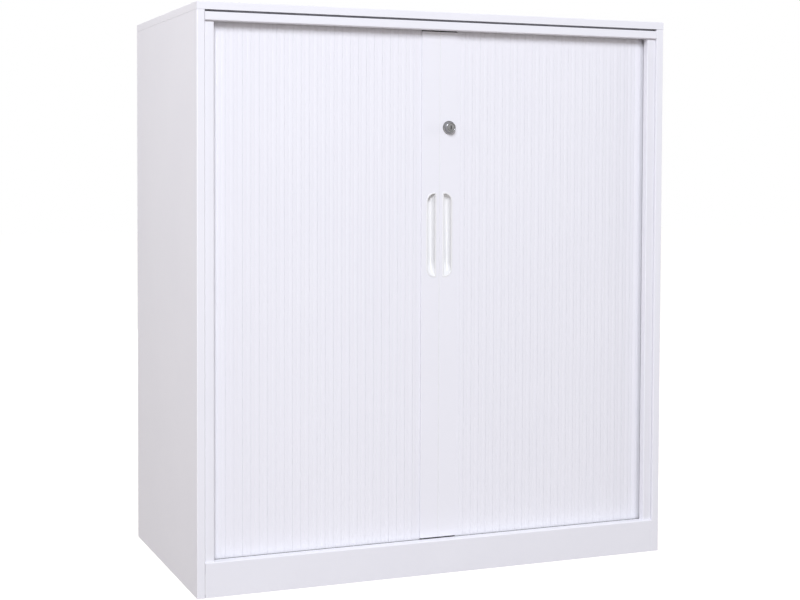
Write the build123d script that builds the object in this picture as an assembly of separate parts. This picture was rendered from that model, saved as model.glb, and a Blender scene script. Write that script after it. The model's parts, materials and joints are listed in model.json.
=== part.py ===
"""Low office cupboard in folded steel with two vertical-slat tambour doors.

Frame: origin on the floor at the middle of the footprint, X to the right, Y to the back, Z up.
Right-hand pieces are drawn and left-hand ones are their mirror image. Millimetres.
"""

from build123d import *
import math
import os

os.makedirs("parts", exist_ok=True)

# ---------------------------------------------------------------- carcass
width = 900.0
depth = 465.0
height = 1004.0
sheet = 1.0
bend = 0.6  # inner bend radius of the folded sheet
fit = 0.2  # clearance between sheets that are slid together
cut = 1.0  # overrun of a cut past the wall it goes through
side_return = 14.0  # front return of a side panel
side_lip = 12.0  # lip folded back from that return
rear_flange = 15.0
top_skirt = 13.5
top_seam = 0.3
plinth_height = 60.0
plinth_foot = 20.0  # bottom flange of plinth and rear rail
header_gap = 3.5  # shadow gap between top panel and header
header_face = 14.5
header_lip = 10.0
stile_edge = 31.0  # inner edge of a stile, from the outer side
stile_recess = 5.0
stile_outer_lip = 9.0
front_reach = 18.5  # how far back plinth and header reach
stile_reach = 19.0

# ---------------------------------------------------------------- curtain run
curtain_recess = 22.0  # slat faces behind the front plane
run_inset = 12.0  # slat faces from the outer side, in the side run
corner_radius = 25.0  # slat faces in the corner
groove_front = 0.5  # clearance in front of the slats
groove_width = 9.5
groove_wall = 1.5
groove_floor = 2.0
bottom_groove = 8.0
top_groove = 11.0
slat_seat = 0.3  # slat ends above the bottom of the groove
slat_lift = 3.0  # free height in the top groove
pan_skirt = 12.0
pan_front = 14.5
run_end_gap = 10.0  # end of the side track in front of the back panel
stop_length = 5.0

# ---------------------------------------------------------------- slats
pitch = 15.0
face_gap = 0.3
plate = 2.2
rib_groove = 1.0
rib_groove_depth = 0.3
joint_depth = 5.0  # hooking line behind the slat faces
hook_wall = 0.9
hook_play = 0.4
nose_drop = 0.8  # top of the rounded nose behind the slat faces
nose_wall = 0.8
nose_play = 0.2
nose_turn = 50.0  # degrees of nose, more than one joint turns in the corner
nose_steps = 2
tail_slats = 2

# ---------------------------------------------------------------- leading profiles
seam = 1.0
profile_width = 35.0
profile_recess = 20.0
profile_depth = 20.0
profile_wall = 1.5
profile_lip = 5.0
profile_edge = 0.4  # rounding of the two front edges
nose_tongue = 1.1
seal_recess = 0.25
seal_depth = 1.5
seal_play = 0.1
profile_gap = 1.0  # between the shoe plates and the fixed pieces above and below
shoe_plate = 1.0
shoe_plug = 12.0
shoe_play = 0.5

# ---------------------------------------------------------------- finger cups
cup_length = 148.0
cup_opening = 15.0
cup_offset = 8.2  # flat edge of the opening from the middle of the cupboard
cup_centre = 608.0
cup_wall = 1.2
cup_depth = 12.0
cup_rim = 1.0
cup_rim_height = 0.6
cup_corner = 14.0
cup_scoop = 32.0
cup_fit = 0.15

# ---------------------------------------------------------------- lock
lock_height = 800.5
lock_offset = 17.5
rosette_radius = 12.0
nose_radius = 9.0
lock_nose = 11.0  # how far the housing stands out
rosette_rim = 1.5
nose_chamfer = 1.0
barrel_radius = 9.0
plug_radius = 7.0
plug_fit = 0.06
plug_recess = 0.5
barrel_length = 14.0
nut_height = 4.0
nut_flats = 24.0
cam_thickness = 2.5
cam_gap = 0.3
square = 7.0
arm_radius = 24.0
hook_reach = 30.0
arm_lead = 4.0
arm_trail = 5.0
hook_lead = 10.0
slot_width = 5.0
slot_play = 1.0
keeper_wall = 1.5
keeper_width = 12.0
keeper_margin = 8.0  # plate above and below the slot
cam_screw_radius = 5.0
cam_screw_end = 5.0  # head of the cam screw behind the housing
keyhole_width = 1.6
keyhole_height = 7.0
keyhole_depth = 8.0

# ---------------------------------------------------------------- inside
strip_wall = 1.2
strip_stand = 5.0
strip_half = 9.0
strip_flange = 7.0
strip_front = 110.0
strip_rear = 390.0
strip_margin = 15.0
liner_lip = 2.0
slot_first = 30.0
slot_last = 15.0  # least distance of a slot below the end of the strip
slot_pitch = 50.0
slot_height = 3.5
slot_length = 12.0
clip_wall = 1.5
clip_width = 11.0
clip_hook = 8.0
clip_drop = 9.0
clip_ledge = 15.0
clip_fit = 0.3
shelf_depth = 400.0
shelf_front = 50.0
shelf_edge = 25.0
shelf_lip = 15.0
shelf_slots = (5, 11)  # slots that carry the two shelves

# ---------------------------------------------------------------- feet
foot_inset = 75.0
foot_pad_flats = 30.0
foot_pad_height = 8.0
foot_stem_radius = 5.0
foot_stem_top = 52.0
foot_thread_fit = 0.08
bracket_wall = 2.0
bracket_half = 24.0
bracket_flange = 12.0
bracket_length = 50.0
bracket_floor = 20.0
foot_nut_flats = 17.0
foot_nut_height = 8.0

# ---------------------------------------------------------------- derived places
half = width / 2
front = -depth / 2
back = depth / 2
skirt_bottom = height - top_skirt
header_top = skirt_bottom - header_gap
header_bottom = header_top - header_face
side_top = skirt_bottom - top_seam
slat_depth = joint_depth + 2 * (hook_play + hook_wall)
corner_x = half - run_inset - corner_radius
corner_y = front + curtain_recess + corner_radius
groove_outer = corner_radius + groove_front
groove_inner = groove_outer - groove_width
liner_radius = groove_inner - groove_wall - fit
liner_x = corner_x + liner_radius
liner_y = corner_y - liner_radius
bottom_track_top = plinth_height
bottom_seat = bottom_track_top - bottom_groove - groove_floor
top_seat = header_top - sheet
top_track_bottom = top_seat - top_groove - groove_floor
slat_bottom = bottom_seat + groove_floor + slat_seat
slat_top = top_seat - groove_floor - slat_lift
track_end = back - 2 * sheet - run_end_gap
pan_back = back - 2 * sheet - fit
profile_bottom = bottom_track_top + profile_gap + shoe_plate
profile_top = header_bottom - profile_gap - shoe_plate
cam_front = front + profile_recess + barrel_length
strip_face = liner_x - sheet - strip_stand
slot_zero = plinth_height + slot_first
rear_reach = half - sheet - bend - fit


def at_side(distance):
    """X of a place that far in from the right-hand outer side."""
    return half - distance


def at_front(distance):
    """Y of a place that far behind the front plane."""
    return front + distance


def block(x, y, z):
    """Box between two limits along each axis."""
    size = [high - low for low, high in (x, y, z)]
    middle = [(high + low) / 2 for low, high in (x, y, z)]
    return Pos(*middle) * Box(*size)


def left_hand(piece):
    return mirror(piece, about=Plane.YZ)


def save(node, *pieces):
    """Write one node: its separate solids in one file."""
    solids = [solid for piece in pieces for solid in piece.solids()]
    export_step(Compound(solids), f"parts/{node}.step")


def sheet_face(path, side, wall=sheet, radii=None):
    """Section of a sheet folded along path, to the left (side 1) or right (-1) of it.

    radii holds the inner radius of each fold, where None is a sharp crease.
    """
    hollows = [bend] * (len(path) - 2) if radii is None else radii
    points = [Vector(*point) for point in path]
    legs = [(end - start).normalized() for start, end in zip(points, points[1:])]
    normals = [Vector(-leg.Y, leg.X) * side for leg in legs]
    inner = [points[0] + normals[0] * wall]
    near = []
    far = []
    for index, point in enumerate(points[1:-1]):
        before = normals[index]
        after = normals[index + 1]
        inner.append(point + (before + after) * (wall / (1 + before.dot(after))))
        closing = legs[index].cross(legs[index + 1]).Z * side > 0
        if hollows[index] is None:
            near.append(0)
            far.append(0)
        else:
            near.append(hollows[index] + wall if closing else hollows[index])
            far.append(hollows[index] if closing else hollows[index] + wall)
    inner.append(points[-1] + normals[-1] * wall)
    outline = [
        *FilletPolyline(*points, radius=near).edges(),
        *FilletPolyline(*inner, radius=far).edges(),
        Line(points[0], inner[0]),
        Line(points[-1], inner[-1]),
    ]
    return make_face(outline)


def upright(face, bottom, top):
    """Extrude a section drawn in plan."""
    return Pos(0, 0, bottom) * extrude(face, top - bottom)


def crosswise(face, start, end):
    """Extrude a section drawn in (y, z) from x = start to x = end."""
    return Pos(start, 0, 0) * extrude(Plane.YZ * face, end - start)


def lengthwise(face, start, end):
    """Extrude a section drawn in (x, z) from y = start to y = end."""
    return Pos(0, end, 0) * extrude(Plane.XZ * face, end - start)


def turned(profile, x, z):
    """Revolve a (radius, y) profile about an axis along Y through (x, z)."""
    face = make_face(Polyline(*profile, close=True))
    return Pos(x, 0, z) * revolve(face, Axis.Y)


# ---------------------------------------------------------------- outer sheet work
def side_panel():
    path = [
        (at_side(side_return), at_front(side_lip)),
        (at_side(side_return), front),
        (half, front),
        (half, back),
        (at_side(rear_flange), back),
    ]
    return upright(sheet_face(path, 1, radii=[bend, bend, None]), 0, side_top)


def top_panel():
    shell = block((-half, half), (front, back), (skirt_bottom, height))
    shell = fillet(shell.faces().sort_by(Axis.Z)[-1].edges(), bend + sheet)
    inside = block(
        (-half + sheet, half - sheet),
        (front + sheet, back - sheet),
        (skirt_bottom, height - sheet),
    )
    return shell - inside


def between_returns(face):
    """Front rail that spans the gap between the returns of the side panels."""
    reach = half - side_return - fit
    return crosswise(face, -reach, reach)


def header_rail():
    path = [
        (at_front(header_lip), header_top),
        (front, header_top),
        (front, header_bottom),
        (at_front(front_reach), header_bottom),
        (at_front(front_reach), top_seat),
    ]
    return between_returns(sheet_face(path, 1, radii=[bend, bend, None]))


def plinth():
    path = [
        (at_front(plinth_foot), 0),
        (front, 0),
        (front, plinth_height),
        (at_front(front_reach), plinth_height),
        (at_front(front_reach), bottom_seat),
    ]
    return between_returns(sheet_face(path, -1, radii=[None, bend, None]))


def stile():
    outer = at_side(side_return + fit)
    path = [
        (outer, at_front(stile_recess + stile_outer_lip)),
        (outer, at_front(stile_recess)),
        (at_side(stile_edge), at_front(stile_recess)),
        (at_side(stile_edge), at_front(stile_reach)),
    ]
    return upright(sheet_face(path, -1), plinth_height, header_bottom - top_seam)


def back_panel():
    return block(
        (-rear_reach, rear_reach),
        (back - 2 * sheet, back - sheet),
        (plinth_height + fit, height - sheet),
    )


def rear_rail():
    path = [
        (back - sheet - plinth_foot, 0),
        (back - sheet, 0),
        (back - sheet, plinth_height),
    ]
    return crosswise(sheet_face(path, 1, radii=[None]), -rear_reach, rear_reach)


# ---------------------------------------------------------------- pans and tracks
def storage_outline(inset):
    """Plan of the storage floor, with the rounded front corners the curtain turns round."""
    reach = liner_x - inset
    plan = Pos(0, (liner_y + inset + pan_back) / 2) * Rectangle(
        2 * reach, pan_back - liner_y - inset
    )
    corners = plan.vertices().sort_by(Axis.Y)[:2]
    return fillet(corners, liner_radius - inset)


def track_pan(rise, skirt):
    """Pan with a sunk ring for the tracks; z = 0 is the face that the tracks seat on."""
    reach = half - sheet - fit
    y = (at_front(pan_front), pan_back)
    ring = block((-reach, reach), y, (-sheet, 0))
    rim = block((-reach, reach), y, (-sheet - skirt, -sheet))
    rim -= block((-reach + sheet, reach - sheet), (y[0] + sheet, y[1] - sheet), (-sheet - skirt, -sheet))
    hat = upright(storage_outline(0), -sheet, rise)
    well = upright(storage_outline(sheet), -sheet - skirt, rise - sheet)
    well &= block((-reach, reach), (front, y[1] - sheet), (-sheet - skirt, rise))
    return ring + rim + hat - well


def base_panel():
    return Pos(0, 0, bottom_seat) * track_pan(plinth_height - bottom_seat, pan_skirt)


def ceiling_panel():
    pan = track_pan(top_seat - top_track_bottom, height - 2 * sheet - top_seat)
    return Pos(0, 0, top_seat) * mirror(pan, about=Plane.XY)


def run_band(inner, outer, end):
    """Plan band of a side track between two radii about the corner."""
    edges = [
        CenterArc((corner_x, corner_y), outer, -90, 90),
        Line((corner_x + outer, corner_y), (corner_x + outer, end)),
        Line((corner_x + outer, end), (corner_x + inner, end)),
        Line((corner_x + inner, end), (corner_x + inner, corner_y)),
        CenterArc((corner_x, corner_y), inner, -90, 90),
        Line((corner_x, corner_y - inner), (corner_x, corner_y - outer)),
    ]
    return make_face(edges)


def side_track(groove):
    """Corner and side run of a track, groove upwards, seated on z = 0."""
    top = groove_floor + groove
    floor = upright(run_band(groove_inner - groove_wall, groove_outer + groove_wall, track_end), 0, top)
    return floor - upright(run_band(groove_inner, groove_outer, track_end), groove_floor, top)


def front_track(groove):
    """Straight track between the corners, groove upwards, seated on z = 0."""
    top = groove_floor + groove
    outer = corner_y - groove_outer
    inner = corner_y - groove_inner
    section = make_face(
        Polyline(
            (outer - groove_wall, 0),
            (inner + groove_wall, 0),
            (inner + groove_wall, top),
            (inner, top),
            (inner, groove_floor),
            (outer, groove_floor),
            (outer, top),
            (outer - groove_wall, top),
            close=True,
        )
    )
    return crosswise(section, -corner_x, corner_x)


def hung(track):
    """Turn a track over and hang it from the ceiling panel."""
    return Pos(0, 0, top_seat) * mirror(track, about=Plane.XY)


def end_stop(bottom, top):
    """Rubber block that fills the end of a side groove."""
    return block(
        (corner_x + groove_inner + fit, corner_x + groove_outer - fit),
        (track_end - stop_length, track_end),
        (bottom, top),
    )


def centre_stop(bottom, top):
    """Block in the front groove between the guide shoes of the two doors."""
    reach = seam / 2 + profile_wall
    return block(
        (-reach, reach),
        (corner_y - groove_outer + fit, corner_y - groove_inner - fit),
        (bottom, top),
    )


# ---------------------------------------------------------------- tambour curtain
def nose_arc(centre, radius, start, end):
    """Points round a hinge line, their turns measured from the slat faces."""
    turns = [math.radians(start + (end - start) * step / nose_steps) for step in range(nose_steps + 1)]
    return [(centre + radius * math.sin(a), joint_depth - radius * math.cos(a)) for a in turns]


def on_arc(u, radius):
    """Depth at which a circle about the hinge line passes u."""
    return joint_depth - math.sqrt(radius**2 - u**2)


def slat_face():
    """Section of a slat: ribbed face, hook at u = 0 and pocket at u = pitch, v to the back.

    A nose round the hinge line fills the opening joint and swings under the next slat.
    """
    gap = face_gap / 2
    middle = pitch / 2
    groove = rib_groove / 2
    pocket = hook_wall / 2 + 2 * hook_play
    floor = slat_depth - hook_wall
    arm = joint_depth - hook_wall / 2
    nose = joint_depth - nose_drop
    inside = nose - nose_wall
    socket = nose + nose_play
    root = socket - hook_play
    return make_face(
        Polyline(
            (gap, 0),
            (middle - groove, 0),
            (middle, rib_groove_depth),
            (middle + groove, 0),
            (pitch - gap, 0),
            (pitch - gap, on_arc(gap, nose)),
            *nose_arc(pitch, nose, 0, nose_turn),
            *nose_arc(pitch, inside, nose_turn, 0),
            (pitch - 2 * hook_wall, on_arc(2 * hook_wall, inside)),
            (pitch - 2 * hook_wall, floor),
            (pitch + pocket - 3 * hook_wall / 2, floor),
            (pitch + pocket - 3 * hook_wall / 2, joint_depth + hook_play),
            (pitch + pocket - hook_wall / 2, joint_depth + hook_play),
            (pitch + pocket - hook_wall / 2, slat_depth),
            (pitch - 3 * hook_wall, slat_depth),
            (pitch - 3 * hook_wall, plate),
            (root + hook_wall, plate),
            (root + hook_wall, arm),
            (-hook_wall / 2, arm),
            (-hook_wall / 2, floor - hook_play),
            (-3 * hook_wall / 2, floor - hook_play),
            (-3 * hook_wall / 2, arm - hook_wall),
            (root, arm - hook_wall),
            (root, on_arc(root, socket)),
            *nose_arc(0, socket, nose_turn, math.degrees(math.asin(gap / socket))),
            close=True,
        )
    )


joint_radius = corner_radius - joint_depth
straight_run = corner_x - profile_width
corner_run = joint_radius * math.pi / 2


def run_point(travel):
    """Place on the hooking line, measured from the edge of the leading profile."""
    if travel <= straight_run:
        return Vector(profile_width + travel, corner_y - joint_radius)
    if travel <= straight_run + corner_run:
        angle = (travel - straight_run) / joint_radius
        return Vector(
            corner_x + joint_radius * math.sin(angle), corner_y - joint_radius * math.cos(angle)
        )
    return Vector(corner_x + joint_radius, corner_y + travel - straight_run - corner_run)


def next_joint(travel):
    """Travel of the joint one slat further on, a straight pitch away."""
    start = run_point(travel)
    low = travel
    high = travel + 2 * pitch
    for _ in range(50):
        middle = (low + high) / 2
        if (run_point(middle) - start).length < pitch:
            low = middle
        else:
            high = middle
    return low


def slat_at(travel):
    """Slat whose hook lies that far along the run, lying on the chord to its next joint."""
    start = run_point(travel)
    chord = run_point(next_joint(travel)) - start
    turn = math.degrees(math.atan2(chord.Y, chord.X))
    slat = Pos(0, -joint_depth) * slat_face()
    placed = Pos(start.X, start.Y) * Rot(0, 0, turn) * slat
    return upright(placed, slat_bottom, slat_top)


def curtain():
    """Slats of one door in three runs: across the front, round the corner, down the side."""
    front_slats = int(straight_run // pitch)
    across = [slat_at(index * pitch) for index in range(front_slats)]
    travel = front_slats * pitch
    corner = []
    while travel < straight_run + corner_run:
        corner.append(slat_at(travel))
        travel = next_joint(travel)
    tail = [slat_at(travel + index * pitch) for index in range(tail_slats)]
    return across, corner, tail


# ---------------------------------------------------------------- leading profiles
def leading_profile():
    """Open extrusion with a finger-cup window, a lock slot and the pocket for the first slat."""
    inner = seam / 2
    face = at_front(profile_recess)
    rear = face + profile_depth
    wall = profile_width - 2 * hook_wall
    pocket = profile_width + hook_wall / 2 + 2 * hook_play
    joint = at_front(curtain_recess) + joint_depth
    shelf = at_front(curtain_recess) + slat_depth
    tongue = at_front(curtain_recess) + nose_drop + nose_play / 2
    section = make_face(
        Polyline(
            (inner, face),
            (profile_width - face_gap / 2, face),
            (profile_width - face_gap / 2, tongue),
            (profile_width + nose_tongue, tongue),
            (profile_width + nose_tongue, tongue + nose_wall),
            (wall, tongue + nose_wall),
            (wall, shelf - hook_wall),
            (pocket - 3 * hook_wall / 2, shelf - hook_wall),
            (pocket - 3 * hook_wall / 2, joint + hook_play),
            (pocket - hook_wall / 2, joint + hook_play),
            (pocket - hook_wall / 2, shelf),
            (wall, shelf),
            (wall, rear),
            (wall - profile_wall - profile_lip, rear),
            (wall - profile_wall - profile_lip, rear - profile_wall),
            (wall - profile_wall, rear - profile_wall),
            (wall - profile_wall, face + profile_wall),
            (inner + profile_wall, face + profile_wall),
            (inner + profile_wall, rear - profile_wall),
            (inner + profile_wall + profile_lip, rear - profile_wall),
            (inner + profile_wall + profile_lip, rear),
            (inner, rear),
            close=True,
        )
    )
    corners = section.vertices().sort_by(Axis.Y)[:2]
    section = fillet(corners, profile_edge)
    bar = upright(section, profile_bottom, profile_top)
    bar -= lengthwise(cup_outline(cup_wall + cup_fit), face - cut, face + profile_wall + cut)
    return bar - lock_slot(inner, inner + profile_wall)


def closing_strip():
    """Soft strip on the left profile that fills the seam just behind the faces."""
    face = at_front(profile_recess) + seal_recess
    return block(
        (-seam / 2, seam / 2 - seal_play), (face, face + seal_depth), (profile_bottom, profile_top)
    )


def guide_shoe(plate_bottom, plug, tongue):
    """End cap of a profile: plate, plug inside the profile and tongue in the groove."""
    inner = seam / 2
    face = at_front(profile_recess)
    outer = profile_width - 2 * hook_wall
    hollow = profile_wall + shoe_play
    cap = block((inner, outer), (face, face + profile_depth), (plate_bottom, plate_bottom + shoe_plate))
    cap += block(
        (inner + hollow, outer - hollow),
        (face + hollow, face + profile_depth - hollow),
        plug,
    )
    cap += block(
        (inner + profile_wall + shoe_play, outer - shoe_play),
        (corner_y - groove_outer + shoe_play, corner_y - groove_inner - shoe_play),
        tongue,
    )
    return cap


def guide_shoes():
    bottom = guide_shoe(
        profile_bottom - shoe_plate,
        (profile_bottom, profile_bottom + shoe_plug),
        (slat_bottom, profile_bottom),
    )
    top = guide_shoe(
        profile_top, (profile_top - shoe_plug, profile_top), (profile_top, slat_top)
    )
    return bottom, top


def cup_outline(margin):
    """D of the finger cup in (x, z), straight towards the seam and rounded on the far side."""
    flat = Pos(cup_offset + cup_opening / 2, cup_centre) * Rectangle(
        cup_opening + 2 * margin, cup_length + 2 * margin
    )
    corners = flat.vertices().sort_by(Axis.X)[2:]
    return fillet(corners, cup_corner + margin)


def cup_hollow():
    """Finger space: deep at the top, its floor sweeping out to the face at the bottom."""
    face = at_front(profile_recess) - cup_rim_height
    floor = at_front(profile_recess) + cup_depth
    low = cup_centre - cup_length / 2
    high = cup_centre + cup_length / 2
    side = make_face(
        [
            Line((face, low), (face, high)),
            Line((face, high), (floor, high)),
            Line((floor, high), (floor, low + cup_scoop)),
            TangentArc((floor, low + cup_scoop), (face, low), tangent=(0, -1)),
        ]
    )
    reach = cup_offset + cup_opening
    return lengthwise(cup_outline(0), face, floor) & crosswise(side, 0, reach)


def finger_cup():
    face = at_front(profile_recess)
    rim = lengthwise(cup_outline(cup_wall + cup_rim), face - cup_rim_height, face)
    tub = lengthwise(cup_outline(cup_wall), face, face + cup_depth + cup_wall)
    return rim + tub - cup_hollow()


# ---------------------------------------------------------------- lock
def swing_top():
    """Height above the lock axis that the tip of the cam reaches at the profile wall."""
    tip = math.hypot(hook_reach, hook_lead)
    return math.sqrt(tip**2 - (lock_offset - seam / 2 - profile_wall) ** 2)


def slot_heights(margin):
    return lock_height - arm_lead - slot_play - margin, lock_height + swing_top() + slot_play + margin


def lock_slot(low, high):
    """Slot in a wall for the swinging cam, between two distances from the seam."""
    middle = cam_front + cam_gap + cam_thickness / 2
    return block(
        (low - cut, high + cut), (middle - slot_width / 2, middle + slot_width / 2), slot_heights(0)
    )


def lock_hole(radius):
    face = at_front(profile_recess)
    hole = lengthwise(Circle(radius), face - cut, face + profile_wall + cut)
    return Pos(lock_offset, 0, lock_height) * hole


def lock_housing():
    face = at_front(profile_recess)
    outline = [
        (plug_radius + plug_fit, face - lock_nose),
        (nose_radius - nose_chamfer, face - lock_nose),
        (nose_radius, face - lock_nose + nose_chamfer),
        (rosette_radius, face - rosette_rim),
        (rosette_radius, face),
        (barrel_radius, face),
        (barrel_radius, cam_front),
        (plug_radius + plug_fit, cam_front),
    ]
    return turned(outline, lock_offset, lock_height)


def lock_nut():
    rear = at_front(profile_recess) + profile_wall
    nut = RegularPolygon(nut_flats / 2, 6, major_radius=False) - Circle(barrel_radius + plug_fit)
    return Pos(lock_offset, 0, lock_height) * lengthwise(nut, rear, rear + nut_height)


def lock_plug():
    """Key barrel with its keyhole and the square that turns the cam."""
    start = at_front(profile_recess) - lock_nose + plug_recess
    cam_rear = cam_front + cam_gap + cam_thickness
    barrel = lengthwise(Circle(plug_radius), start, cam_front)
    tail = lengthwise(Rectangle(square, square), cam_front, cam_rear)
    keyhole = lengthwise(Rectangle(keyhole_width, keyhole_height), start, start + keyhole_depth)
    screw = lengthwise(Circle(cam_screw_radius), cam_rear, cam_front + cam_screw_end)
    return Pos(lock_offset, 0, lock_height) * (barrel + tail + screw - keyhole)


def lock_cam():
    """Hooked cam, upright when unlocked, its hook towards the other door."""
    arm = Circle(barrel_radius)
    arm += Pos((arm_trail - arm_lead) / 2, hook_reach / 2) * Rectangle(arm_lead + arm_trail, hook_reach)
    arm += Pos((arm_trail - hook_lead) / 2, (arm_radius + hook_reach) / 2) * Rectangle(
        arm_trail + hook_lead, hook_reach - arm_radius
    )
    arm -= Rectangle(square + 2 * plug_fit, square + 2 * plug_fit)
    start = cam_front + cam_gap
    return Pos(lock_offset, 0, lock_height) * lengthwise(arm, start, start + cam_thickness)


def lock_keeper():
    """Striker plate on the inner wall of the other profile, drawn right-handed."""
    inner = seam / 2 + profile_wall
    rear = at_front(profile_recess) + profile_depth - profile_wall
    plate_box = block(
        (inner, inner + keeper_wall),
        (rear - keeper_width, rear),
        slot_heights(keeper_margin),
    )
    return plate_box - lock_slot(inner, inner + keeper_wall)


# ---------------------------------------------------------------- inside
def liner():
    """Inner side wall that keeps the stored things off the curtain."""
    path = [
        (corner_x - liner_lip, liner_y),
        (liner_x, liner_y),
        (liner_x, pan_back),
        (liner_x - rear_flange, pan_back),
    ]
    face = sheet_face(path, 1, radii=[liner_radius - sheet, None])
    return upright(face, plinth_height, top_track_bottom)


def strip_levels():
    """Heights of the lower edges of the clip slots."""
    top = top_track_bottom - strip_margin - slot_last
    return [slot_zero + slot_pitch * index for index in range(int((top - slot_zero) // slot_pitch) + 1)]


def shelf_strip(distance):
    """Hat-section strip with a row of slots, on the liner."""
    wall = liner_x - sheet
    y = at_front(distance)
    path = [
        (wall, y - strip_half - strip_flange),
        (wall, y - strip_half),
        (strip_face, y - strip_half),
        (strip_face, y + strip_half),
        (wall, y + strip_half),
        (wall, y + strip_half + strip_flange),
    ]
    face = sheet_face(path, 1, wall=strip_wall, radii=[None] * 4)
    strip = upright(face, plinth_height + strip_margin, top_track_bottom - strip_margin)
    for level in strip_levels():
        strip -= block(
            (strip_face - strip_wall - cut, strip_face + cut),
            (y - slot_length / 2, y + slot_length / 2),
            (level, level + slot_height),
        )
    return strip


def shelf_clip(distance, level):
    """Hooked sheet clip: through the slot, down the face of the strip and out to a ledge."""
    hook = strip_face + clip_fit + clip_wall
    face = strip_face - strip_wall - clip_fit
    path = [
        (hook, level + clip_hook),
        (hook, level),
        (face, level),
        (face, level - clip_drop),
        (face - clip_ledge, level - clip_drop),
    ]
    y = at_front(distance)
    section = sheet_face(path, -1, wall=clip_wall, radii=[None] * 3)
    return lengthwise(section, y - clip_width / 2, y + clip_width / 2)


def shelf_clips(level):
    right = [shelf_clip(distance, level) for distance in (strip_front, strip_rear)]
    return right + [left_hand(clip) for clip in right]


def shelf(level):
    """Shelf tray with folded edges, resting on its clips."""
    reach = strip_face - strip_wall - clip_fit - clip_wall - 2 * clip_fit
    bottom = level - clip_drop + clip_wall
    top = bottom + shelf_edge
    y = (at_front(shelf_front), at_front(shelf_front) + shelf_depth)
    tray = block((-reach, reach), y, (bottom, top))
    tray = fillet(tray.edges().filter_by(Axis.X).group_by(Axis.Z)[-1], bend + sheet)
    tray -= block(
        (-reach + sheet, reach - sheet), (y[0] + sheet, y[1] - sheet), (bottom + sheet, top - sheet)
    )
    window = block(
        (-reach + shelf_lip, reach - shelf_lip),
        (y[0] + shelf_lip, y[1] - shelf_lip),
        (bottom, bottom + sheet),
    )
    return tray - window


# ---------------------------------------------------------------- feet
def foot_places():
    return [
        (x * (half - foot_inset), y * (depth / 2 - foot_inset)) for x in (-1, 1) for y in (-1, 1)
    ]


def foot():
    """Levelling foot on the Z axis: hexagon pad and threaded stem."""
    pad = upright(RegularPolygon(foot_pad_flats / 2, 6, major_radius=False), 0, foot_pad_height)
    return pad + upright(Circle(foot_stem_radius), foot_pad_height, foot_stem_top)


def foot_bracket():
    """Hat-section bracket under the floor with its weld nut, both threaded on the Z axis."""
    seat = plinth_height - sheet
    floor = bracket_floor + bracket_wall
    path = [
        (-bracket_half - bracket_flange, seat),
        (-bracket_half, seat),
        (-bracket_half, floor),
        (bracket_half, floor),
        (bracket_half, seat),
        (bracket_half + bracket_flange, seat),
    ]
    section = sheet_face(path, -1, wall=bracket_wall, radii=[None] * 4)
    hat = lengthwise(section, -bracket_length / 2, bracket_length / 2)
    nut = RegularPolygon(foot_nut_flats / 2, 6, major_radius=False)
    hat += upright(nut, floor, floor + foot_nut_height)
    thread = Circle(foot_stem_radius + foot_thread_fit)
    return hat - upright(thread, 0, floor + foot_nut_height)


def at_feet(piece):
    return [Pos(x, y, 0) * piece for x, y in foot_places()]


# ---------------------------------------------------------------- write the nodes
def write_both(node, make):
    """Write a right-hand node and its left-hand mirror image."""
    pieces = make if isinstance(make, (list, tuple)) else [make]
    save(f"{node}_right", *pieces)
    save(f"{node}_left", *[left_hand(piece) for piece in pieces])


write_both("side_panel", side_panel())
write_both("stile", stile())
write_both("liner", liner())
write_both("shelf_strip_front", shelf_strip(strip_front))
write_both("shelf_strip_rear", shelf_strip(strip_rear))
save("top_panel", top_panel())
save("header_rail", header_rail())
save("plinth", plinth())
save("rear_rail", rear_rail())
save("back_panel", back_panel())
save("base_panel", base_panel())
save("ceiling_panel", ceiling_panel())

bottom_floor = bottom_seat + groove_floor
top_floor = top_seat - groove_floor
save("bottom_track_front", Pos(0, 0, bottom_seat) * front_track(bottom_groove))
save("top_track_front", hung(front_track(top_groove)))
write_both("bottom_track", Pos(0, 0, bottom_seat) * side_track(bottom_groove))
write_both("top_track", hung(side_track(top_groove)))
stops = [end_stop(bottom_floor, bottom_track_top), end_stop(top_track_bottom, top_floor)]
save("run_end_stops", *stops, *[left_hand(stop) for stop in stops])
save(
    "centre_stops",
    centre_stop(bottom_floor, bottom_track_top - fit),
    centre_stop(top_track_bottom + fit, top_floor),
)

across, corner, tail = curtain()
write_both("curtain", across)
write_both("corner_slats", corner)
write_both("tail_slats", tail)

profile = leading_profile()
save("leading_profile_left", left_hand(profile))
save("leading_profile_right", profile - lock_hole(barrel_radius + plug_fit))
save("closing_strip", closing_strip())
write_both("guide_shoes", guide_shoes())
write_both("finger_cup", finger_cup())
save("lock_housing", lock_housing())
save("lock_nut", lock_nut())
save("lock_plug", lock_plug())
save("lock_cam", lock_cam())
save("lock_keeper", left_hand(lock_keeper()))

for name, slot in zip(("lower", "upper"), shelf_slots):
    level = slot_zero + slot_pitch * slot
    save(f"shelf_{name}", shelf(level))
    save(f"shelf_clips_{name}", *shelf_clips(level))

for name, (x, y) in zip(("front_left", "rear_left", "front_right", "rear_right"), foot_places()):
    save(f"foot_{name}", Pos(x, y, 0) * foot())
save("foot_brackets", *at_feet(foot_bracket()))
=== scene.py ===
"""Studio look of a low office cupboard with two vertical-slat tambour doors.

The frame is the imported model's: X to the right, Y to the back, Z up, in metres.
Shapes are written in millimetres and scaled when their mesh is made. Right-hand
pieces are drawn and left-hand ones are their mirror image.
"""

import json
import math

import bpy
from mathutils import Matrix, Vector


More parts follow.
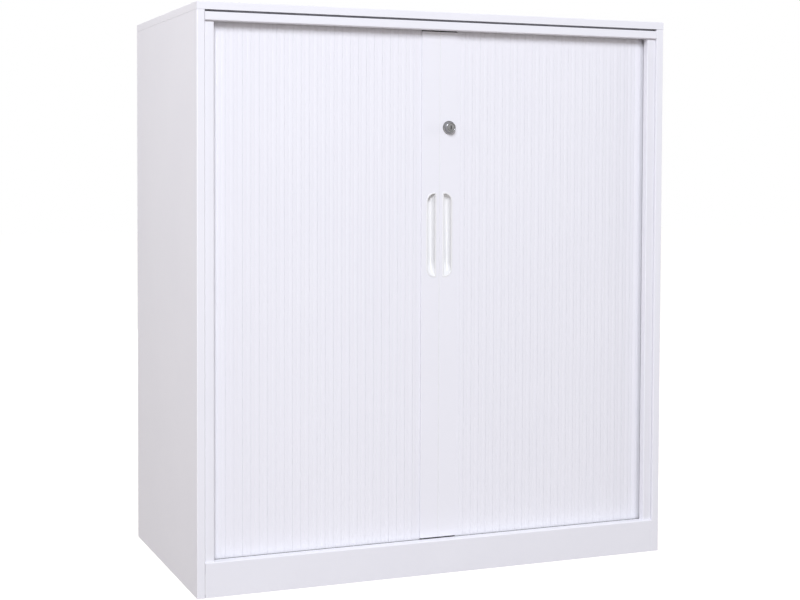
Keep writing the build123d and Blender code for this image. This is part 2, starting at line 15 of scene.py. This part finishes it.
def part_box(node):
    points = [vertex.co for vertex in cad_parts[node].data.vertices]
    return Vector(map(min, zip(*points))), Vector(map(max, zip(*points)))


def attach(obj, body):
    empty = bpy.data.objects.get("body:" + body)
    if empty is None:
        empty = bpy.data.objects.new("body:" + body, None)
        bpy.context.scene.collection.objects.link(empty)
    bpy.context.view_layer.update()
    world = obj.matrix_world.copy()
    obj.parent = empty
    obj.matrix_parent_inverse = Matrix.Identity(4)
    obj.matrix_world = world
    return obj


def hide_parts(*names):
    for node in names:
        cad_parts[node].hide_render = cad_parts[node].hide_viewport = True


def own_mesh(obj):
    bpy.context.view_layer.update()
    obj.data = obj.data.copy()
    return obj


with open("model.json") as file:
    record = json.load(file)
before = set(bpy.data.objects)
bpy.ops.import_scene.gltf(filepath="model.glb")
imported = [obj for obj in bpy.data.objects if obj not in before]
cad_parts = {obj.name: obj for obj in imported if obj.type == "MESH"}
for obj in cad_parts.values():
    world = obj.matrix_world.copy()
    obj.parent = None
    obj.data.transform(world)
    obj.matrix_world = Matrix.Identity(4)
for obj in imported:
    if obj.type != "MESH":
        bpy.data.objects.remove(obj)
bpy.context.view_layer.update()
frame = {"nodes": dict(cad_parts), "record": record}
scene = bpy.context.scene

MM = 0.001

# ---------------------------------------------------------------- slats, in millimetres
PITCH = 15.0
FACE_GAP = 0.15  # from a joint to the edge of a slat's face
PLATE = 2.2
JOINT_DEPTH = 5.0  # hinge lines behind the slat faces
HOOK_WALL = 0.9
HOOK_PLAY = 0.4
SLAT_DEPTH = JOINT_DEPTH + 2 * (HOOK_PLAY + HOOK_WALL)
NOSE_DROP = 0.8
NOSE_WALL = 0.8
NOSE_PLAY = 0.2
NOSE = JOINT_DEPTH - NOSE_DROP  # radii about a hinge line
NOSE_INSIDE = NOSE - NOSE_WALL
SOCKET = NOSE + NOSE_PLAY
NOSE_TURN = 50.0  # degrees
NOSE_STEPS = 8
NOSE_INSIDE_STEPS = 4
SOCKET_END = 2.0  # degrees
SOCKET_STEPS = 6
FACE_EDGE = ((0.0, 0.3), (0.05, 0.13), (0.2, 0.03), (0.5, 0.0))  # (from the edge, deep)
FACE_GROOVE = ((0.55, 0.0), (0.4, 0.04), (0.2, 0.16), (0.0, 0.22))  # (from its middle, deep)

# ---------------------------------------------------------------- curtains, in millimetres
PROFILE_WIDTH = 35.0
CORNER_RADIUS = 25.0
TAIL_SLATS = 2
JOINT_HALVINGS = 50  # steps of the search for the next joint

# ---------------------------------------------------------------- finger cups, in millimetres
CUP_FLAT = 8.2  # flat side of the D, from the middle of the cupboard
CUP_OPENING = 15.0
CUP_LENGTH = 148.0
CUP_CORNER = 14.0
CUP_NEAR_CORNER = 0.6
CUP_DEPTH = 12.0
CUP_WALL = 1.2
CUP_RIM = 2.2
CUP_PROUD = 0.6
CUP_SCOOP = 32.0  # length of the lower end that sweeps out
CUP_SPINE_END = 9.0  # from an end of the cup to that of its spine
CUP_DISH = 0.65  # share of the way to the spine that the wall takes
CUP_FLOOR = 0.98  # the same for the last loop, on the floor
CUP_LIP_DEPTH = 0.05  # share of the depth at the lip
CUP_WALL_STEPS = 14
CUP_SIDE_STEPS = 48
CUP_BEND_STEPS = 10
CUP_BASE_EDGE = 0.5
CUP_BASE_BEND = 0.15
CUP_RIM_EDGE = 0.45
CUP_RIM_BEND = (0.15, 0.1)
CUP_LIP_BEND = (0.12, 0.08)
CUP_SMOOTH = 50.0  # degrees

# ---------------------------------------------------------------- lock, in millimetres
LOCK_BORE = 7.06
LOCK_SHANK = 9.0
LOCK_REAR = 14.0  # end of shank and barrel behind the profile's face
ROSETTE_OUTLINE = (
    (LOCK_BORE, LOCK_REAR),
    (LOCK_BORE, -10.3),
    (7.2, -10.8),
    (7.5, -11.0),
    (8.1, -11.0),
    (8.6, -10.8),
    (8.9, -10.4),
    (9.0, -9.8),
    (9.15, -7.0),
    (9.5, -4.6),
    (10.2, -3.0),
    (11.2, -2.1),
    (11.75, -1.8),
    (12.0, -1.3),
    (12.0, -0.25),
    (11.75, 0.0),
    (LOCK_SHANK, 0.0),
    (LOCK_SHANK, LOCK_REAR),
    (LOCK_BORE, LOCK_REAR),
)  # (radius, depth behind the profile's face)
LOCK_SIDES = 72
PLUG_RADIUS = 7.0
PLUG_EDGE = 0.35
KEYHOLE_WIDTH = 1.6
KEYHOLE_HEIGHT = 7.0
KEYHOLE_DEPTH = 8.0
KEYHOLE_FLARE = 0.2
KEYHOLE_FLARE_DEPTH = 0.25
SQUARE = 7.0  # square tail that carries the cam
CAM_SCREW_RADIUS = 5.0
CAM_SCREW_EDGE = 0.6
CAM_SCREW_SIDES = 48
NEAR_ZERO = 1e-6  # least divisor

# ---------------------------------------------------------------- rivets, in millimetres
RIVET_RADIUS = 3.2
RIVET_HEIGHT = 0.9
RIVET_INSET = 7.5  # from the edge of the liner
RIVET_MARGIN = 60.0  # from the ends of the back panel
RIVET_SPACES = 4
RIVET_BANDS = 5
RIVET_SIDES = 20


def node_box(name):
    """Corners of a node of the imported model, in millimetres."""
    low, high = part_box(name)
    return low / MM, high / MM


slat_low, slat_high = node_box("curtain_right")
cup_low, cup_high = node_box("finger_cup_right")
housing_low, housing_high = node_box("lock_housing")
plug_low, plug_high = node_box("lock_plug")
back_low, back_high = node_box("back_panel")

SLAT_FACE = slat_low.y
PROFILE_FACE = node_box("leading_profile_right")[0].y
CORNER_X = node_box("bottom_track_front")[1].x
CUP_CENTRE = (cup_low.z + cup_high.z) / 2
LINER_X = node_box("liner_right")[1].x
CAM_BACK = node_box("lock_cam")[1].y
LOCK_X = (housing_low.x + housing_high.x) / 2
LOCK_Z = (housing_low.z + housing_high.z) / 2


# ---------------------------------------------------------------- materials
FADE_START = 0.3  # shares of the noise between which tones and gloss change
FADE_END = 0.7
TONE_DETAIL = 4.0
GRAIN_DETAIL = 3.0
GLOSS_DETAIL = 2.0
GLOSS_PATCH = 9  # patches of gloss are that many grains wide
BUMP_STRENGTH = 1.0


def blank(name):
    material = bpy.data.materials.new(name)
    material.use_nodes = True
    tree = material.node_tree
    return material, tree, tree.nodes["Principled BSDF"]


def noise(tree, place, scale, detail):
    node = tree.nodes.new("ShaderNodeTexNoise")
    node.inputs["Scale"].default_value = scale
    node.inputs["Detail"].default_value = detail
    tree.links.new(place, node.inputs["Vector"])
    return node.outputs["Fac"]


def placed(tree, stretch=(1.0, 1.0, 1.0)):
    """Coordinates of the piece itself, stretched for grain that runs one way."""
    coordinates = tree.nodes.new("ShaderNodeTexCoord")
    mapping = tree.nodes.new("ShaderNodeMapping")
    mapping.inputs["Scale"].default_value = stretch
    tree.links.new(coordinates.outputs["Object"], mapping.inputs["Vector"])
    return mapping.outputs["Vector"]


def between(tree, factor, low, high):
    """Value that goes from low to high as the factor goes from FADE_START to FADE_END."""
    node = tree.nodes.new("ShaderNodeMapRange")
    node.inputs["From Min"].default_value = FADE_START
    node.inputs["From Max"].default_value = FADE_END
    node.inputs["To Min"].default_value = low
    node.inputs["To Max"].default_value = high
    tree.links.new(factor, node.inputs["Value"])
    return node.outputs["Result"]


def two_tones(tree, factor, first, second):
    node = tree.nodes.new("ShaderNodeValToRGB")
    node.color_ramp.elements[0].position = FADE_START
    node.color_ramp.elements[1].position = FADE_END
    node.color_ramp.elements[0].color = (*first, 1.0)
    node.color_ramp.elements[1].color = (*second, 1.0)
    tree.links.new(factor, node.inputs["Fac"])
    return node.outputs["Color"]


def bumped(tree, shader, height, depth):
    node = tree.nodes.new("ShaderNodeBump")
    node.inputs["Strength"].default_value = BUMP_STRENGTH
    node.inputs["Distance"].default_value = depth
    tree.links.new(height, node.inputs["Height"])
    tree.links.new(node.outputs["Normal"], shader.inputs["Normal"])


def surface(
    name,
    first,
    second,
    gloss,
    skin,
    depth,
    metallic=0.0,
    specular=0.5,
    stretch=(1.0, 1.0, 1.0),
    tone=7.0,
):
    """Finish with two close tones, uneven gloss and a fine skin.

    gloss is the lowest and highest roughness, skin the scale of the grain, tone that of
    the two tones, and depth the relief in metres, 0 for a moulding that shows none.
    """
    material, tree, shader = blank(name)
    plain = placed(tree)
    grain = placed(tree, stretch)
    color = two_tones(tree, noise(tree, plain, tone, TONE_DETAIL), first, second)
    tree.links.new(color, shader.inputs["Base Color"])
    roughness = between(tree, noise(tree, grain, skin / GLOSS_PATCH, GLOSS_DETAIL), *gloss)
    tree.links.new(roughness, shader.inputs["Roughness"])
    if depth:
        bumped(tree, shader, noise(tree, grain, skin, GRAIN_DETAIL), depth)
    shader.inputs["Metallic"].default_value = metallic
    shader.inputs["Specular IOR Level"].default_value = specular
    return material


COAT = surface(
    "powder_coat",
    first=(0.838, 0.834, 0.872),
    second=(0.852, 0.848, 0.884),
    gloss=(0.40, 0.50),
    skin=620,
    depth=0.000025,
    specular=0.1,
)
SLAT = surface(
    "slat_plastic",
    first=(0.842, 0.838, 0.882),
    second=(0.854, 0.850, 0.892),
    gloss=(0.34, 0.44),
    skin=420,
    depth=0.000018,
    stretch=(1.0, 1.0, 0.02),
)
PROFILE = surface(
    "profile_coat",
    first=(0.842, 0.838, 0.880),
    second=(0.852, 0.848, 0.890),
    gloss=(0.34, 0.42),
    skin=620,
    depth=0.00002,
)
MOULDING = surface(
    "moulded_white",
    first=(0.838, 0.838, 0.838),
    second=(0.844, 0.844, 0.844),
    gloss=(0.29, 0.32),
    skin=300,
    depth=0.0,
)
TRACK = surface(
    "track_plastic",
    first=(0.028, 0.028, 0.032),
    second=(0.042, 0.042, 0.047),
    gloss=(0.42, 0.55),
    skin=350,
    depth=0.00002,
)
NICKEL = surface(
    "nickel",
    first=(0.23, 0.23, 0.235),
    second=(0.32, 0.32, 0.325),
    gloss=(0.14, 0.26),
    skin=900,
    depth=0.000008,
    metallic=1.0,
    tone=90.0,
)
ZINC = surface(
    "zinc_steel",
    first=(0.52, 0.53, 0.55),
    second=(0.66, 0.67, 0.69),
    gloss=(0.28, 0.46),
    skin=500,
    depth=0.00001,
    metallic=1.0,
    tone=60.0,
)
RUBBER = surface(
    "rubber",
    first=(0.022, 0.022, 0.022),
    second=(0.040, 0.040, 0.040),
    gloss=(0.7, 0.9),
    skin=800,
    depth=0.00004,
)

FINISHES = {
    "white_steel": COAT,
    "white_slat": SLAT,
    "white_profile": PROFILE,
    "white_moulding": MOULDING,
    "track_plastic": TRACK,
    "nickel": NICKEL,
    "zinc_steel": ZINC,
    "black_rubber": RUBBER,
}


def dress_nodes():
    """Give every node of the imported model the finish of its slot."""
    slots = {part["node"]: part["material_slot"] for part in frame["record"]["subparts"]}
    for name, node in frame["nodes"].items():
        node.data.materials.clear()
        node.data.materials.append(FINISHES[slots[name]])


# ---------------------------------------------------------------- mesh helpers
def piece(name, shells, finish, body, *replaced, smooth=35.0):
    """Mesh piece from (points, faces) shells in millimetres, riding on a body."""
    points = []
    faces = []
    for shell_points, shell_faces in shells:
        start = len(points)
        points += [Vector(point) * MM for point in shell_points]
        faces += [[start + index for index in face] for face in shell_faces]
    mesh = bpy.data.meshes.new(name)
    mesh.from_pydata(points, [], faces)
    mesh.validate()
    mesh.materials.append(FINISHES[finish])
    made = bpy.data.objects.new(name, mesh)
    scene.collection.objects.link(made)
    mesh.shade_smooth()
    mesh.set_sharp_from_angle(angle=math.radians(smooth))
    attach(made, body)
    if replaced:
        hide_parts(*replaced)
    return made


def mirrored(shell):
    """The same shell on the other side of the middle, its faces turned round to match."""
    points, faces = shell
    return [(-x, y, z) for x, y, z in points], [face[::-1] for face in faces]


def prism(outline, bottom, top):
    """Upright bar over a plan outline that runs counterclockwise."""
    count = len(outline)
    points = [(x, y, bottom) for x, y in outline] + [(x, y, top) for x, y in outline]
    sides = [[i, (i + 1) % count, count + (i + 1) % count, count + i] for i in range(count)]
    return points, [list(range(count))[::-1], *sides, list(range(count, 2 * count))]


def lofted(loops, caps=(True, True)):
    """Shell through closed loops with the same number of points."""
    count = len(loops[0])
    points = [point for loop in loops for point in loop]
    faces = []
    for level in range(len(loops) - 1):
        start = level * count
        for i in range(count):
            j = (i + 1) % count
            faces.append([start + i, start + j, start + count + j, start + count + i])
    if caps[0]:
        faces.append(list(range(count))[::-1])
    if caps[1]:
        faces.append(list(range(len(points) - count, len(points))))
    return points, faces


def turned(profile, x, z, count):
    """Loops of a (radius, y) profile round an axis along Y."""
    loops = []
    turns = [2 * math.pi * step / count for step in range(count)]
    for radius, y in profile:
        loops.append([(x + radius * math.cos(turn), y, z + radius * math.sin(turn)) for turn in turns])
    return loops


# ---------------------------------------------------------------- tambour slats
def hinge_arc(centre, radius, start, end, steps):
    """Points round a hinge line, their turns in degrees from the slat faces."""
    turns = [math.radians(start + (end - start) * step / steps) for step in range(steps + 1)]
    return [
        (centre + radius * math.sin(turn), JOINT_DEPTH - radius * math.cos(turn)) for turn in turns
    ]


def on_arc(u, radius):
    """Depth at which a circle about the hinge line passes u."""
    return JOINT_DEPTH - math.sqrt(radius**2 - u**2)


def slat_outline():
    """Section of a slat, u along the run and v to the back: face, nose, pocket and hook."""
    middle = PITCH / 2
    half = [(FACE_GAP + u, v) for u, v in FACE_EDGE] + [(middle - u, v) for u, v in FACE_GROOVE]
    face = half + [(PITCH - u, v) for u, v in half[-2::-1]]
    pocket = HOOK_WALL / 2 + 2 * HOOK_PLAY
    floor = SLAT_DEPTH - HOOK_WALL
    arm = JOINT_DEPTH - HOOK_WALL / 2
    lip = PITCH + pocket - HOOK_WALL / 2
    root = SOCKET - HOOK_PLAY
    return [
        *face,
        (PITCH - FACE_GAP, on_arc(FACE_GAP, NOSE)),
        *hinge_arc(PITCH, NOSE, 0, NOSE_TURN, NOSE_STEPS),
        *hinge_arc(PITCH, NOSE_INSIDE, NOSE_TURN, 0, NOSE_INSIDE_STEPS),
        (PITCH - 2 * HOOK_WALL, on_arc(2 * HOOK_WALL, NOSE_INSIDE)),
        (PITCH - 2 * HOOK_WALL, floor),
        (lip - HOOK_WALL, floor),
        (lip - HOOK_WALL, JOINT_DEPTH + HOOK_PLAY),
        (lip, JOINT_DEPTH + HOOK_PLAY),
        (lip, SLAT_DEPTH),
        (PITCH - 3 * HOOK_WALL, SLAT_DEPTH),
        (PITCH - 3 * HOOK_WALL, PLATE),
        (root + HOOK_WALL, PLATE),
        (root + HOOK_WALL, arm),
        (-HOOK_WALL / 2, arm),
        (-HOOK_WALL / 2, floor - HOOK_PLAY),
        (-3 * HOOK_WALL / 2, floor - HOOK_PLAY),
        (-3 * HOOK_WALL / 2, arm - HOOK_WALL),
        (root, arm - HOOK_WALL),
        (root, on_arc(root, SOCKET)),
        *hinge_arc(0, SOCKET, NOSE_TURN, SOCKET_END, SOCKET_STEPS),
    ]


JOINT_RADIUS = CORNER_RADIUS - JOINT_DEPTH
CORNER_Y = SLAT_FACE + CORNER_RADIUS
STRAIGHT_RUN = CORNER_X - PROFILE_WIDTH
CORNER_RUN = JOINT_RADIUS * math.pi / 2


def run_point(travel):
    """Place on the hooking line, measured from the edge of the leading profile."""
    if travel <= STRAIGHT_RUN:
        return Vector((PROFILE_WIDTH + travel, CORNER_Y - JOINT_RADIUS))
    if travel <= STRAIGHT_RUN + CORNER_RUN:
        angle = (travel - STRAIGHT_RUN) / JOINT_RADIUS
        return Vector(
            (CORNER_X + JOINT_RADIUS * math.sin(angle), CORNER_Y - JOINT_RADIUS * math.cos(angle))
        )
    return Vector((CORNER_X + JOINT_RADIUS, CORNER_Y + travel - STRAIGHT_RUN - CORNER_RUN))


def next_joint(travel):
    """Travel of the joint one slat further on, a straight pitch away."""
    start = run_point(travel)
    low = travel
    high = travel + 2 * PITCH
    for _ in range(JOINT_HALVINGS):
        middle = (low + high) / 2
        if (run_point(middle) - start).length < PITCH:
            low = middle
        else:
            high = middle
    return low


def slat_at(travel):
    """Slat whose hook lies that far along the run."""
    start = run_point(travel)
    along = (run_point(next_joint(travel)) - start).normalized()
    inward = Vector((-along.y, along.x))
    places = [start + along * u + inward * (v - JOINT_DEPTH) for u, v in slat_outline()]
    return prism([(place.x, place.y) for place in places], slat_low.z, slat_high.z)


def make_curtains():
    across = [slat_at(index * PITCH) for index in range(int(STRAIGHT_RUN // PITCH))]
    travel = len(across) * PITCH
    corner = []
    while travel < STRAIGHT_RUN + CORNER_RUN:
        corner.append(slat_at(travel))
        travel = next_joint(travel)
    tail = [slat_at(travel + index * PITCH) for index in range(TAIL_SLATS)]
    for hand, sign in (("right", 1), ("left", -1)):
        shells = [across, corner, tail]
        if sign < 0:
            shells = [[mirrored(slat) for slat in run] for run in shells]
        front = piece(f"slats_front_{hand}", shells[0], "white_slat", f"door_{hand}", f"curtain_{hand}")
        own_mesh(front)
        piece(f"slats_corner_{hand}", shells[1], "white_slat", "carcass", f"corner_slats_{hand}")
        piece(f"slats_side_{hand}", shells[2], "white_slat", f"tail_{hand}", f"tail_slats_{hand}")


# ---------------------------------------------------------------- finger cups
def cup_levels():
    """Heights of the points up the long sides of the D, from its lower end."""
    turns = [math.radians(90 * step / CUP_BEND_STEPS) for step in range(CUP_BEND_STEPS + 1)]
    bends = [CUP_CORNER * (1 - math.cos(turn)) for turn in turns]
    run = CUP_LENGTH - 2 * CUP_CORNER
    straight = [CUP_CORNER + run * step / CUP_SIDE_STEPS for step in range(1, CUP_SIDE_STEPS)]
    return bends + straight + [CUP_LENGTH - level for level in bends[::-1]]


def cup_edge():
    """The D in (x, z), counterclockwise seen from the front: far side up, near side down."""
    low = CUP_CENTRE - CUP_LENGTH / 2
    far = CUP_FLAT + CUP_OPENING

    def side(level, radius):
        end = min(level, CUP_LENGTH - level)
        if end >= radius:
            return 0.0
        return radius - math.sqrt(radius**2 - (radius - end) ** 2)

    up = [(far - side(level, CUP_CORNER), low + level) for level in cup_levels()]
    down = [(CUP_FLAT + side(level, CUP_NEAR_CORNER), low + level) for level in cup_levels()]
    return up + down[::-1]


def cup_floor(z):
    """Depth of the finger space at a height: it sweeps out to the face at the lower end."""
    rise = CUP_DEPTH + CUP_PROUD
    radius = (rise**2 + CUP_SCOOP**2) / (2 * rise)
    below = CUP_CENTRE - CUP_LENGTH / 2 + CUP_SCOOP - z
    if below <= 0:
        return CUP_DEPTH
    return CUP_DEPTH - radius + math.sqrt(max(radius**2 - below**2, 0.0))


def cup_shell():
    edge = cup_edge()
    count = len(edge)
    spine_x = CUP_FLAT + CUP_OPENING / 2
    spine_low = CUP_CENTRE - CUP_LENGTH / 2 + CUP_SPINE_END
    spine_high = CUP_CENTRE + CUP_LENGTH / 2 - CUP_SPINE_END

    def widened(margin, y):
        """Loop a margin outside the opening, y behind the profile's face."""
        loop = []
        for index, (x, z) in enumerate(edge):
            before = Vector(edge[index - 1])
            after = Vector(edge[(index + 1) % count])
            along = (after - before).normalized()
            loop.append((x + along.y * margin, PROFILE_FACE + y, z - along.x * margin))
        return loop

    def narrowed(share, sunk):
        """Loop drawn in by a share of the way to the spine, sunk a share of the depth."""
        loop = []
        for x, z in edge:
            spine_z = min(max(z, spine_low), spine_high)
            new_x = x + (spine_x - x) * share
            new_z = z + (spine_z - z) * share
            depth = -CUP_PROUD + (cup_floor(new_z) + CUP_PROUD) * sunk
            loop.append((new_x, PROFILE_FACE + depth, new_z))
        return loop

    tub = CUP_DEPTH + CUP_WALL
    loops = [
        widened(CUP_WALL - CUP_BASE_EDGE, tub),
        widened(CUP_WALL - CUP_BASE_BEND, tub - CUP_BASE_BEND),
        widened(CUP_WALL, tub - CUP_BASE_EDGE),
        widened(CUP_WALL, 0.0),
        widened(CUP_RIM, 0.0),
        widened(CUP_RIM, -CUP_PROUD / 2),
        widened(CUP_RIM - CUP_RIM_BEND[0], -CUP_PROUD + CUP_RIM_BEND[1]),
        widened(CUP_RIM - CUP_RIM_EDGE, -CUP_PROUD),
        widened(CUP_RIM_EDGE, -CUP_PROUD),
        widened(CUP_LIP_BEND[0], -CUP_PROUD + CUP_LIP_BEND[1]),
    ]
    for step in range(CUP_WALL_STEPS + 1):
        turn = math.radians(90 * step / CUP_WALL_STEPS)
        sunk = CUP_LIP_DEPTH + (1 - CUP_LIP_DEPTH) * math.sin(turn)
        loops.append(narrowed(CUP_DISH * (1 - math.cos(turn)), sunk))
    return lofted([*loops, narrowed(CUP_FLOOR, 1.0)])


def make_cups():
    shell = cup_shell()
    for hand, made in (("right", shell), ("left", mirrored(shell))):
        piece(
            f"finger_pull_{hand}",
            [made],
            "white_moulding",
            f"door_{hand}",
            f"finger_cup_{hand}",
            smooth=CUP_SMOOTH,
        )


# ---------------------------------------------------------------- lock
def keyhole(y, grow):
    """Loop round the keyhole, its points on the same rays as those of the barrel."""
    half_x = KEYHOLE_WIDTH / 2 + grow
    half_z = KEYHOLE_HEIGHT / 2 + grow
    loop = []
    for step in range(LOCK_SIDES):
        angle = 2 * math.pi * step / LOCK_SIDES
        across = math.cos(angle)
        upward = math.sin(angle)
        reach = min(half_x / max(abs(across), NEAR_ZERO), half_z / max(abs(upward), NEAR_ZERO))
        loop.append((LOCK_X + reach * across, y, LOCK_Z + reach * upward))
    return loop


def make_rosette():
    """Turned rosette with its nose and shank."""
    profile = [(radius, PROFILE_FACE + y) for radius, y in ROSETTE_OUTLINE]
    rings = turned(profile[::-1], LOCK_X, LOCK_Z, LOCK_SIDES)
    shell = lofted(rings, caps=(False, False))
    piece("lock_rosette", [shell], "nickel", "door_right", "lock_housing")


def make_barrel():
    """Key barrel with its keyhole, square tail and cam screw."""
    face = plug_low.y
    rear = PROFILE_FACE + LOCK_REAR
    outline = [(PLUG_RADIUS, rear), (PLUG_RADIUS, face + PLUG_EDGE), (PLUG_RADIUS - PLUG_EDGE, face)]
    barrel = [
        *turned(outline, LOCK_X, LOCK_Z, LOCK_SIDES),
        keyhole(face, KEYHOLE_FLARE),
        keyhole(face + KEYHOLE_FLARE_DEPTH, 0.0),
        keyhole(face + KEYHOLE_DEPTH, 0.0),
    ]
    half = SQUARE / 2
    corners = ((1, -1), (1, 1), (-1, 1), (-1, -1))
    square = [(LOCK_X + x * half, LOCK_Z + z * half) for x, z in corners]
    tail = [[(x, y, z) for x, z in square] for y in (CAM_BACK, rear)]
    screw = [
        (CAM_SCREW_RADIUS - CAM_SCREW_EDGE, plug_high.y),
        (CAM_SCREW_RADIUS, plug_high.y - CAM_SCREW_EDGE),
        (CAM_SCREW_RADIUS, CAM_BACK),
    ]
    shells = [lofted(barrel), lofted(tail), lofted(turned(screw, LOCK_X, LOCK_Z, CAM_SCREW_SIDES))]
    piece("lock_barrel", shells, "nickel", "lock_cylinder", "lock_plug")


# ---------------------------------------------------------------- small fixings
def dome(x, y, z):
    """Low rivet head that stands out to the back from a face at y."""
    profile = []
    for step in range(RIVET_BANDS):
        angle = math.radians(90 * step / RIVET_BANDS)
        profile.append((RIVET_RADIUS * math.cos(angle), y + RIVET_HEIGHT * math.sin(angle)))
    points, faces = lofted(turned(profile, x, z, RIVET_SIDES))
    return points, [face[::-1] for face in faces]


def make_rivets():
    """Blind rivets up both edges of the back panel."""
    column_x = LINER_X - RIVET_INSET
    height = back_high.z - back_low.z - 2 * RIVET_MARGIN
    first = back_low.z + RIVET_MARGIN
    levels = [first + step * height / RIVET_SPACES for step in range(RIVET_SPACES + 1)]
    shells = [dome(sign * column_x, back_high.y, z) for sign in (-1, 1) for z in levels]
    piece("back_rivets", shells, "zinc_steel", "carcass")


# ---------------------------------------------------------------- stage, light and camera
AMBIENT_COLOR = (0.95, 0.96, 1.0, 1.0)
AMBIENT_STRENGTH = 0.33
WHITE = (1.0, 1.0, 1.0, 1.0)
FLOOR_REACH = 14.0  # metres
FLOOR_COLOR = (0.36, 0.32, 0.29, 1.0)
FLOOR_ROUGHNESS = 0.9
FLOOR_LIFT = 0.9

SENSOR_WIDTH = 36.0
LENS = 67.4
SHIFT_Y = -0.09375
CLIP_END = 100.0
CAMERA_ANGLES = (22.07, -2.115, 0.23)  # yaw, pitch and roll in degrees
CAMERA_PLACE = (-1.0742, -2.6738, 0.7246)


def shown_in_views(tree, lighting, target):
    """Let a shader light the part and return the socket of the one that views show.

    Views are what the camera sees directly, in gloss or through glass.
    """
    path = tree.nodes.new("ShaderNodeLightPath")
    either = tree.nodes.new("ShaderNodeMath")
    either.operation = "MAXIMUM"
    seen = tree.nodes.new("ShaderNodeMath")
    seen.operation = "MAXIMUM"
    tree.links.new(path.outputs["Is Camera Ray"], either.inputs[0])
    tree.links.new(path.outputs["Is Glossy Ray"], either.inputs[1])
    tree.links.new(either.outputs[0], seen.inputs[0])
    tree.links.new(path.outputs["Is Transmission Ray"], seen.inputs[1])
    mix = tree.nodes.new("ShaderNodeMixShader")
    tree.links.new(seen.outputs[0], mix.inputs["Fac"])
    tree.links.new(lighting, mix.inputs[1])
    tree.links.new(mix.outputs[0], target)
    return mix.inputs[2]


def make_world():
    world = bpy.data.worlds.new("studio")
    scene.world = world
    world.use_nodes = True
    tree = world.node_tree
    ambient = tree.nodes["Background"]
    ambient.inputs["Color"].default_value = AMBIENT_COLOR
    ambient.inputs["Strength"].default_value = AMBIENT_STRENGTH
    white = tree.nodes.new("ShaderNodeBackground")
    white.inputs["Color"].default_value = WHITE
    white.inputs["Strength"].default_value = 1.0
    target = tree.nodes["World Output"].inputs["Surface"]
    shown = shown_in_views(tree, ambient.outputs[0], target)
    tree.links.new(white.outputs[0], shown)


def make_floor():
    """Warm grey floor that lights the part. Views show it with white added."""
    mesh = bpy.data.meshes.new("floor")
    signs = ((-1, -1), (1, -1), (1, 1), (-1, 1))
    corners = [(x * FLOOR_REACH, y * FLOOR_REACH, 0) for x, y in signs]
    mesh.from_pydata(corners, [], [(0, 1, 2, 3)])
    floor = bpy.data.objects.new("floor", mesh)
    scene.collection.objects.link(floor)
    material, tree, shader = blank("studio_floor")
    shader.inputs["Base Color"].default_value = FLOOR_COLOR
    shader.inputs["Roughness"].default_value = FLOOR_ROUGHNESS
    shader.inputs["Specular IOR Level"].default_value = 0.0
    lift = tree.nodes.new("ShaderNodeEmission")
    lift.inputs["Color"].default_value = WHITE
    lift.inputs["Strength"].default_value = FLOOR_LIFT
    add = tree.nodes.new("ShaderNodeAddShader")
    tree.links.new(shader.outputs[0], add.inputs[0])
    tree.links.new(lift.outputs[0], add.inputs[1])
    target = tree.nodes["Material Output"].inputs["Surface"]
    shown = shown_in_views(tree, shader.outputs[0], target)
    tree.links.new(add.outputs[0], shown)
    mesh.materials.append(material)


def lamp(name, place, aim, size, power, color=(1.0, 1.0, 1.0), mirrored_in_gloss=False):
    """Soft lamp. A fill doesn't show in gloss, where it would wash out a side seen edge-on."""
    data = bpy.data.lights.new(name, "AREA")
    data.shape = "RECTANGLE"
    data.size, data.size_y = size
    data.energy = power
    data.color = color
    light = bpy.data.objects.new(name, data)
    scene.collection.objects.link(light)
    light.location = place
    direction = Vector(aim) - Vector(place)
    light.rotation_euler = direction.to_track_quat("-Z", "Y").to_euler()
    light.visible_glossy = mirrored_in_gloss


def make_lamps():
    """Key lamp from the front, high on the left, and a fill for each side and the back."""
    lamp(
        "key",
        place=(-2.0, -5.0, 3.6),
        aim=(0.0, 0.0, 0.6),
        size=(1.6, 2.2),
        power=300,
        color=(0.91, 0.932, 1.0),
        mirrored_in_gloss=True,
    )
    lamp(
        "left_fill",
        place=(-2.0, -0.2, 1.45),
        aim=(-0.45, 0.0, 0.7),
        size=(1.0, 0.8),
        power=11,
        color=(1.0, 0.965, 0.975),
    )
    lamp("right_fill", place=(3.4, -0.5, 1.2), aim=(0.45, 0.0, 0.5), size=(1.6, 1.6), power=42)
    lamp("back_fill", place=(0.4, 3.8, 1.3), aim=(0.0, 0.2, 0.5), size=(2.2, 1.8), power=62)


def make_camera():
    data = bpy.data.cameras.new("camera")
    data.sensor_width = SENSOR_WIDTH
    data.lens = LENS
    data.shift_y = SHIFT_Y
    data.clip_end = CLIP_END
    yaw, pitch, roll = (math.radians(angle) for angle in CAMERA_ANGLES)
    ahead = Vector((math.sin(yaw) * math.cos(pitch), math.cos(yaw) * math.cos(pitch), math.sin(pitch)))
    level = Vector((math.cos(yaw), -math.sin(yaw), 0.0))
    right = level * math.cos(roll) + level.cross(ahead) * math.sin(roll)
    up = right.cross(ahead)
    turn = Matrix((right, up, -ahead)).transposed().to_4x4()
    camera = bpy.data.objects.new("camera", data)
    scene.collection.objects.link(camera)
    camera.matrix_world = Matrix.Translation(CAMERA_PLACE) @ turn
    scene.camera = camera


make_camera()
make_world()
make_floor()
make_lamps()

dress_nodes()
make_curtains()
make_cups()
make_rosette()
make_barrel()
make_rivets()

scene.view_settings.view_transform = "Standard"
